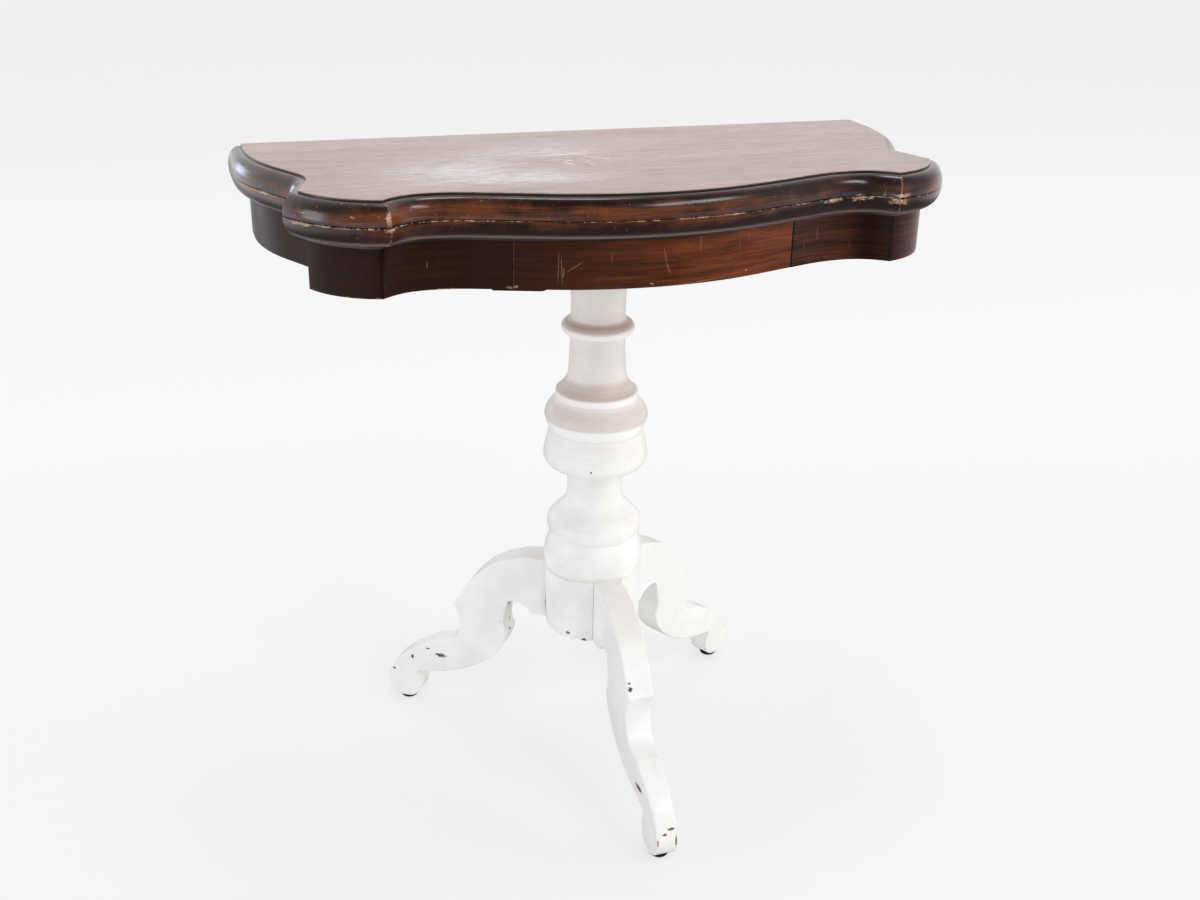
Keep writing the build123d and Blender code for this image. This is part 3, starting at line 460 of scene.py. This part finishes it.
def frieze_veneer(name, deep, red, share, scratches):
    """Glossy mahogany veneer with its grain along the frieze; share is how much of it is red."""
    f = Finish(name)
    bands = f.noise(24, detail=7, roughness=0.75, stretch=(0.35, 0.35, 7), warp=0.3)
    fibres = f.noise(110, detail=5, roughness=0.7, stretch=(0.3, 0.3, 7))
    colour = f.blend(f.rise(bands, 0.55 - share * 0.3, 0.96 - share * 0.3), deep, red)
    colour = f.blend(f.rise(fibres, 0.45, 0.8) * 0.45, colour, tone(24, 13, 9))
    hairs = f.rise(f.noise(130, detail=2, roughness=0.5, stretch=(3, 3, 0.3)), 0.68, 0.71)
    hairs = hairs * f.rise(f.noise(16, detail=2), 0.48, 0.6)
    colour = f.blend(hairs * 0.2, colour, tone(168, 124, 96))
    colour = f.blend(f.rise(f.x, *left_shade, start=0.85, end=0.0), colour, tone(38, 22, 15))
    colour = f.blend(f.rise(f.x, *lobe_shade) * 0.4, colour, tone(20, 12, 8))
    # Painted shade in the hollow at the right
    colour = f.blend(f.near(f.x, *painted_hollow_shade, soft=0.8) * 0.75, colour, tone(18, 9, 6))
    ragged = f.noise(280, detail=5, roughness=0.75, stretch=(0.7, 0.7, 1.2))
    patchy = f.noise(34, detail=4, roughness=0.7)
    reach = f.rise(patchy, 0.45, 0.7, start=-0.0012, end=0.0008)
    wear = f.rise(reach - (f.z - frieze_low) + (ragged - 0.5) * 0.005, 0.0, 0.0003)
    for point, across in mitres:
        colour = f.blend(f.joint(point, across, reach=0.0026) * 0.6, colour, tone(14, 8, 6))
    flecks = f.rise(f.noise(330, detail=3, roughness=0.6, stretch=(0.7, 0.7, 1)), 0.73, 0.75)
    wear = wear.over(flecks * 0.5)
    colour = f.blend(wear * 0.85, colour, tone(156, 106, 76))
    for (x, z), (half_width, half_height), lean, strength in scratches:
        turn = (0, radians(lean), 0)
        mark = f.spot((x, 0, z), (half_width, 1, half_height), turn, ragged=1.4, rough=420)
        colour = f.blend(mark * strength, colour, tone(176, 136, 108))
    # Painted shade of the gap at the drawer's right-hand edge, as a dark line
    painted_gap_shade = f.near(f.x, drawer_high, reach=0.0012, soft=0.3)
    colour = f.blend(painted_gap_shade, colour, tone(8, 5, 4))
    rubbed = f.near(f.x, drawer_low, reach=0.0007) * f.rise(ragged, 0.35, 0.5)
    colour = f.blend(rubbed * 0.35, colour, tone(120, 98, 84))
    roughness = f.rise(fibres, 0.3, 0.8, start=0.16, end=0.28) + wear * 0.3
    f.bump(fibres, depth=0.0002, strength=0.2)
    return f.finish(colour, roughness, coat=0.06, coat_roughness=0.12, specular=0.08)


def bare_wood(name, pale, dark):
    """Unpolished wood with its grain along the table, stained where it shows under the frieze."""
    f = Finish(name)
    rings = f.noise(14, detail=4, roughness=0.6, stretch=(0.6, 5, 5), warp=0.8)
    fibres = f.noise(140, detail=5, roughness=0.7, stretch=(0.2, 3, 3))
    colour = f.blend(rings, pale, dark)
    colour = f.blend(f.rise(fibres, 0.5, 0.8) * 0.5, colour, dark)
    stained = f.rise(f.y, frame_front, frame_front - stain_fade[0])
    stained = stained * f.rise(f.z, frieze_low + stain_fade[1], frieze_low)
    colour = f.blend(stained, colour, tone(32, 22, 18))
    f.bump(fibres, depth=0.0004, strength=0.5)
    return f.finish(colour, roughness=0.7)


def white_paint():
    """Brushed white paint: dirt and painted shade on the turnings and the upper column, painted
    highlights on the clean lips, a dark slit of painted shade at an open joint, and chips down to the
    dark wood.
    """
    f = Finish("white_paint")
    turned = f.rise(f.z, column_low[2] + turned_height[0], column_low[2] + turned_height[1])
    brush = f.noise(60, detail=5, roughness=0.7, stretch=(0.35, 0.35, 7))
    cloud = f.noise(12, detail=4, roughness=0.6)
    ragged = f.noise(240, detail=5, roughness=0.75)
    colour = f.blend(f.rise(cloud, 0.35, 0.65), tone(232, 230, 227), tone(241, 240, 238))
    colour = f.blend(f.rise(brush, 0.4, 0.75) * (turned * 0.14 + 0.06), colour, tone(210, 205, 200))
    # Painted shade on the upper column under the table top, and dirt with painted shade on the turnings'
    # bands
    dirt_and_shade = f.rise(f.z, *painted_shade_foot) * f.rise(f.z, *painted_shade_top, start=0.5, end=1.0)
    dirt_and_shade = dirt_and_shade * f.rise(cloud + brush * 0.2, 0.35, 0.75, start=0.1, end=0.4)
    for low, high, strength in dirty_shaded_turnings:
        band = f.rise(f.z, low, low + band_fade) * f.rise(f.z, high, (low + high) / 2)
        dirt_and_shade = dirt_and_shade.over(band * f.rise(brush, 0.2, 0.6, start=0.8, end=1.0) * strength)
    colour = f.blend(dirt_and_shade * 0.9, colour, tone(196, 184, 175))
    # Clean lips under the bands, painted lighter than the paint: a painted highlight
    for low, high in lit_clean_lips:
        lit_lip = f.rise(f.z, low - lit_lip_fade, low) * f.rise(f.z, high, high - lit_lip_fade)
        colour = f.blend(lit_lip * 0.65, colour, tone(246, 246, 245))
    crumbs = f.rise(f.noise(420, detail=3, roughness=0.6), 0.68, 0.69)
    crumbs = crumbs * f.rise(f.noise(34, detail=2), 0.5, 0.56)
    chips = crumbs * f.rise(f.z, *scuff_height)
    for centre, size, turn in paint_chips:
        chip = f.spot(centre, size, turn=(0, 0, radians(turn)), ragged=2.0, rough=560, soft=0.1)
        chips = chips.over(chip)
    colour = f.blend(f.spot(*arch_stain, soft=0.8) * 0.45, colour, tone(238, 224, 204))
    spigot = f.rise(f.z, frieze_low + spigot_height[0], frieze_low + spigot_height[1])
    colour = f.blend(spigot, colour, tone(176, 142, 104))
    wood = f.blend(f.rise(ragged, 0.4, 0.6), tone(40, 32, 30), tone(112, 82, 64))
    colour = f.blend(chips, colour, wood)
    # Painted shade: a dark slit in the open joint beside the left leg
    colour = f.blend(f.spot(*painted_slit_shade, ragged=0.2, rough=300), colour, tone(22, 19, 18))
    roughness = f.rise(brush, 0.3, 0.8, start=0.36, end=0.5) + chips * 0.2
    f.bump(brush * (turned * 0.5 + 0.2) - chips * 0.8, depth=0.0003, strength=0.35)
    return f.finish(colour, roughness, coat=0.1)


def metal(name, bright, dull, roughness, metallic=1.0):
    """Plain metal dulled unevenly by handling."""
    f = Finish(name)
    stain = f.noise(120, detail=5, roughness=0.65)
    colour = f.blend(f.rise(stain, 0.35, 0.7), bright, dull)
    f.bump(stain, depth=0.0001, strength=0.4)
    return f.finish(colour, f.rise(stain, 0.3, 0.8, start=roughness, end=roughness + 0.25), metallic)


finishes = {
    "veneered_board": field_veneer(),
    "dark_moulding": dark_moulding(),
    "frieze_veneer": frieze_veneer(
        "frieze_veneer", tone(40, 24, 17), tone(98, 52, 34), share=0.65, scratches=frieze_scratches
    ),
    "drawer_front_veneer": frieze_veneer(
        "drawer_front_veneer",
        tone(60, 32, 19),
        tone(126, 65, 37),
        share=0.8,
        scratches=drawer_scratches,
    ),
    "frame_wood": bare_wood("frame_wood", tone(186, 150, 110), tone(128, 92, 60)),
    "drawer_wood": bare_wood("drawer_wood", tone(198, 164, 122), tone(146, 108, 72)),
    "white_paint": white_paint(),
    "hinge_brass": metal("hinge_brass", tone(186, 152, 88), tone(120, 92, 50), roughness=0.3),
    "iron": metal("iron", tone(92, 88, 84), tone(54, 50, 48), roughness=0.45),
    "glide_black": metal("glide_black", tone(24, 23, 23), tone(12, 12, 12), roughness=0.3, metallic=0.0),
}
for part in frame["record"]["subparts"]:
    piece = nodes[part["node"]]
    for material_slot in piece.material_slots:
        material_slot.material = finishes[part["material_slot"]]

# Legs with their edges eased by hand tools and paint
leg_grain = 0.0014              # size of the faces that the rounding needs
leg_rubs = 5                    # times that the edges are rubbed down
leg_rub = 0.5                   # how much each time
meeting = 1e-5                  # points closer than this are one
leg_turns = {"leg_front": 0, "leg_left": 235, "leg_right": 120}    # degrees from the front leg


def ease_leg(name, turn):
    """A copy of a leg with its edges rounded, worked while it points as the front leg does."""
    axis = Matrix.Translation((0, column_y, 0))
    to_front = axis @ Matrix.Rotation(radians(-turn), 4, "Z") @ axis.inverted()
    bpy.ops.object.select_all(action="DESELECT")
    nodes[name].select_set(True)
    bpy.context.view_layer.objects.active = nodes[name]
    bpy.ops.object.duplicate()
    leg = bpy.context.object
    leg.name = f"{name}_eased"
    bpy.ops.object.parent_clear(type="CLEAR_KEEP_TRANSFORM")
    bpy.ops.object.mode_set(mode="EDIT")
    bpy.ops.mesh.select_all(action="SELECT")
    bpy.ops.mesh.remove_doubles(threshold=meeting)
    bpy.ops.object.mode_set(mode="OBJECT")
    leg.data.transform(to_front)
    leg.data.remesh_voxel_size = leg_grain
    leg.data.use_remesh_preserve_attributes = False
    bpy.ops.object.voxel_remesh()
    leg.data.transform(to_front.inverted())
    bpy.ops.object.mode_set(mode="EDIT")
    bpy.ops.mesh.select_all(action="SELECT")
    bpy.ops.mesh.vertices_smooth(factor=leg_rub, repeat=leg_rubs)
    bpy.ops.mesh.normals_make_consistent(inside=False)
    bpy.ops.object.mode_set(mode="OBJECT")
    bpy.ops.object.shade_smooth(keep_sharp_edges=False)
    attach(leg, "stand")
    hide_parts(name)


for name, turn in leg_turns.items():
    ease_leg(name, turn)

# Floor, backdrop and light
floor_size = 60.0
floor_glow = 0.75               # share of the floor's own colour that the camera sees
# Where the floor's own colour changes, from front to back
middle_floor = (0.1, 1.2)
far_floor = (2.2, 5.0)
# Where what polish mirrors of it changes: on the left, on the right and behind
left_floor = (-0.9, -1.9)
right_floor = (1.6, 2.8)
back_floor = (0.9, 1.9)
backdrop = tone(240, 238, 237)
fill_light = 0.81
# What polish mirrors of the room in front of the table, behind it and beside it, and the
# directions between which it changes
front_gloss = 0.06
back_gloss = 0.9
side_gloss = 0.4
back_way = (-0.3, 0.5)
side_way = (0.4, 0.9)
# What polish mirrors of the floor in front of the table, and of the floor beside and behind it
floor_gloss = (0.12, 0.13, 0.15)
side_floor_gloss = (1.12, 1.08, 1.14)
# Lamps: name, place, aim, width, height, power, colour, whether polish mirrors it
lamps = (
    ("right_window", (4.2, -1.35, 1.4), (0, 0, 0.5), 2.6, 1.3, 58, (1, 1, 1), False),
    ("front_window", (0.2, -3.2, 1.3), (0, 0, 0.4), 3.0, 3.0, 4, (1, 1, 1), True),
    ("front_strip", (1.84, -2.62, 3.2), (0, 0, 0.7), 1.9, 0.45, 36, (0.94, 0.96, 1.0), True),
    ("ceiling", (0.2, 0.4, 3.2), (0, 0, 0.5), 0.7, 0.7, 13, (1, 1, 1), True),
    ("left_window", (-3.75, -0.3, 1.13), (0, 0, 0.6), 1.5, 1.5, 26, (0.84, 0.89, 1.0), True),
    ("back_window", (-2.2, 3.1, 0.9), (-0.3, 0, 0.7), 0.8, 0.8, 7, (0.7, 0.78, 1.0), True),
)


def lay_floor():
    """Pale floor that fills the view, and takes the soft shadow."""
    bpy.ops.object.select_all(action="DESELECT")
    bpy.ops.mesh.primitive_plane_add(size=floor_size, location=(0, 0, 0))
    floor = bpy.context.object
    floor.name = "floor"
    f = Finish("floor")
    paper = f.finish(tone(247, 247, 246), roughness=0.9, specular=0.0)
    far = f.blend(f.rise(f.y, *far_floor), tone(246, 246, 246), tone(245, 243, 242))
    own_colour = f.blend(f.rise(f.y, *middle_floor), tone(239, 239, 238), far)
    glow = f.node("ShaderNodeEmission", sockets={"Color": own_colour})
    camera_ray = f.node("ShaderNodeLightPath", output="Is Camera Ray")
    lit = Signal(f, f.shader.outputs[0])
    seen = f.node("ShaderNodeMixShader", sockets={0: camera_ray * floor_glow, 1: lit, 2: glow})
    aside = f.rise(f.x, *left_floor).over(f.rise(f.x, *right_floor) * 0.8)
    aside = aside.over(f.rise(f.y, *back_floor) * 0.3)
    shine = f.blend(aside, floor_gloss, side_floor_gloss)
    mirrored = f.node("ShaderNodeEmission", sockets={"Color": shine})
    glossy_ray = f.node("ShaderNodeLightPath", output="Is Glossy Ray")
    whole = f.node("ShaderNodeMixShader", sockets={0: glossy_ray, 1: seen, 2: mirrored})
    f.feed(f.tree.nodes["Material Output"].inputs["Surface"], whole)
    floor.data.materials.append(paper)


def light_room():
    """Soft white room: its fill light, what polish mirrors of it, and what the camera sees."""
    world = bpy.data.worlds.new("room")
    world.use_nodes = True
    bpy.context.scene.world = world
    room = Graph(world.node_tree)
    room.tree.nodes.clear()

    def wall(colour, strength):
        return room.node("ShaderNodeBackground", sockets={"Color": colour, "Strength": strength})

    def choose(ray, under, over):
        """Surface under, and for rays of one kind surface over."""
        is_ray = room.node("ShaderNodeLightPath", output=ray)
        return room.node("ShaderNodeMixShader", sockets={0: is_ray, 1: under, 2: over})

    x, y = room.axes(room.node("ShaderNodeTexCoord", output="Generated"))[:2]
    behind = room.rise(y, *back_way, start=front_gloss, end=back_gloss, course="LINEAR")
    beside = room.rise(abs(x), *side_way, start=front_gloss, end=side_gloss, course="LINEAR")
    mirrored = wall((1, 1, 1), behind.over(beside))
    soft = choose("Is Glossy Ray", wall((1, 1, 1), fill_light), mirrored)
    whole = choose("Is Camera Ray", soft, wall(backdrop, 1.0))
    out = room.tree.nodes.new("ShaderNodeOutputWorld")
    room.feed(out.inputs["Surface"], whole)


def hang_lamp(name, place, aim, width, height, power, colour, mirrored):
    """Soft lamp at a place, turned to what it lights."""
    data = bpy.data.lights.new(name, "AREA")
    data.shape = "RECTANGLE"
    data.size = width
    data.size_y = height
    data.energy = power
    data.color = colour
    lamp = bpy.data.objects.new(name, data)
    lamp.visible_glossy = mirrored
    lamp.location = place
    lamp.rotation_euler = (Vector(place) - Vector(aim)).to_track_quat("Z", "Y").to_euler()
    bpy.context.collection.objects.link(lamp)


bpy.context.scene.view_settings.view_transform = "Standard"
lay_floor()
light_room()
for lamp in lamps:
    hang_lamp(*lamp)
